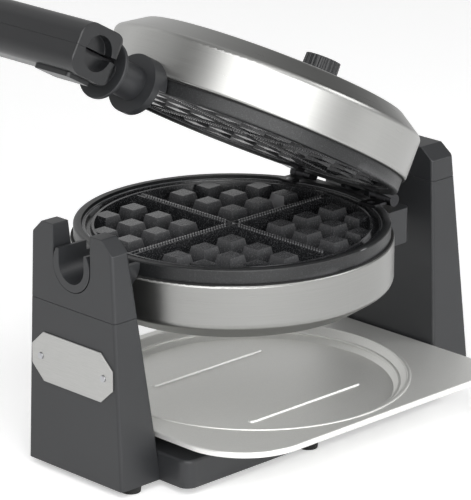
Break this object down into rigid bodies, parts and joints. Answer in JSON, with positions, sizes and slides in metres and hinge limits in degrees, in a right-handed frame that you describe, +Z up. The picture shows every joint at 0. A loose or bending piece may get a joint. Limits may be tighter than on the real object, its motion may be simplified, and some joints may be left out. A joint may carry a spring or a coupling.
{
  "type": "belgian waffle maker",
  "caption": "Rotary waffle maker: a round steel drum of two hinged baking halves turns between a front and a rear post above a slide-out drip tray.",
  "frame": {"origin": "centre of the bounding box's bottom face, on the surface that the feet stand on", "axes": "+Z up, +Y from the front post to the rear post, along the line that the drum turns on, +X to the right seen from the front"},
  "size_m": [0.2388, 0.3498, 0.3224],
  "materials": {
    "black_moulding": "satin",
    "handle_moulding": "satin",
    "knob_moulding": "matte",
    "rubber": "matte",
    "brushed_shell": "brushed",
    "brushed_plate": "brushed",
    "tray_steel": "satin",
    "textured_rim": "textured",
    "nonstick_plate": "nonstick coating",
    "element_steel": "dull",
    "hardware_steel": "plated",
    "blackened_steel": "blackened",
    "bush_moulding": "natural",
    "light_lens": "clear tinted"
  },
  "bodies": {
    "stand": {"base_shell": "black_moulding", "base_cover": "black_moulding", "base_screws": "hardware_steel", "rubber_feet": "rubber", "front_post_column": "black_moulding", "front_post_cap": "black_moulding", "rear_post_column": "black_moulding", "rear_post_cap": "black_moulding", "rear_bush": "bush_moulding", "nameplate": "brushed_plate", "nameplate_rivets": "hardware_steel", "cord_inlet": "black_moulding"},
    "drip_tray": {"drip_tray": "tray_steel"},
    "drum": {"lower_housing": "brushed_shell", "lower_bezel": "textured_rim", "lower_plate": "nonstick_plate", "lower_heating_element": "element_steel", "lower_heat_screen": "element_steel", "lower_screen_screws": "hardware_steel", "lower_neck": "black_moulding", "rear_bracket": "black_moulding", "rear_shaft": "hardware_steel", "lower_hinge_leaves": "blackened_steel", "lower_hinge_screws": "hardware_steel", "hinge_pins": "blackened_steel"},
    "lid": {"upper_housing": "brushed_shell", "upper_bezel": "textured_rim", "upper_plate": "nonstick_plate", "upper_heating_element": "element_steel", "upper_heat_screen": "element_steel", "upper_screen_screws": "hardware_steel", "upper_neck": "black_moulding", "neck_journal": "black_moulding", "neck_collar": "black_moulding", "upper_hinge_leaves": "blackened_steel", "upper_hinge_screws": "hardware_steel", "thermostat": "bush_moulding", "indicator_lights": "light_lens", "handle_hinge_plate": "blackened_steel"},
    "browning_knob": {"browning_knob": "knob_moulding", "knob_spindle": "hardware_steel"},
    "handle": {"handle_upper_shell": "handle_moulding", "handle_lower_shell": "handle_moulding", "handle_pin": "hardware_steel"},
    "release_lever": {"release_lever": "handle_moulding"}
  },
  "joints": [
    {"name": "drum_turn", "type": "hinge", "parent": "stand", "child": "drum", "pos_m": [-0.0071, -0.01235, 0.153], "axis": [0, 1, 0], "range_deg": [0, 90]},
    {"name": "lid_hinge", "type": "hinge", "parent": "drum", "child": "lid", "pos_m": [-0.0071, 0.09865, 0.153], "axis": [1, 0, 0], "range_deg": [0, 29.5]},
    {"name": "handle_fold", "type": "hinge", "parent": "lid", "child": "handle", "pos_m": [-0.0071, -0.15216, 0.30065], "axis": [0, 0.4924, 0.8704], "range_deg": [0, 90]},
    {"name": "release_press", "type": "slide", "parent": "handle", "child": "release_lever", "axis": [0, 0.4924, 0.8704], "range_m": [0, 0.002], "stiffness_N_per_m": 300, "springref_m": -0.001},
    {"name": "browning_turn", "type": "hinge", "parent": "lid", "child": "browning_knob", "pos_m": [-0.0071, 0.06653, 0.2323], "axis": [0, 0.4924, 0.8704], "range_deg": [0, 270]},
    {"name": "tray_slide", "type": "slide", "parent": "stand", "child": "drip_tray", "axis": [1, 0, 0], "range_m": [-0.011, 0.21]}
  ]
}
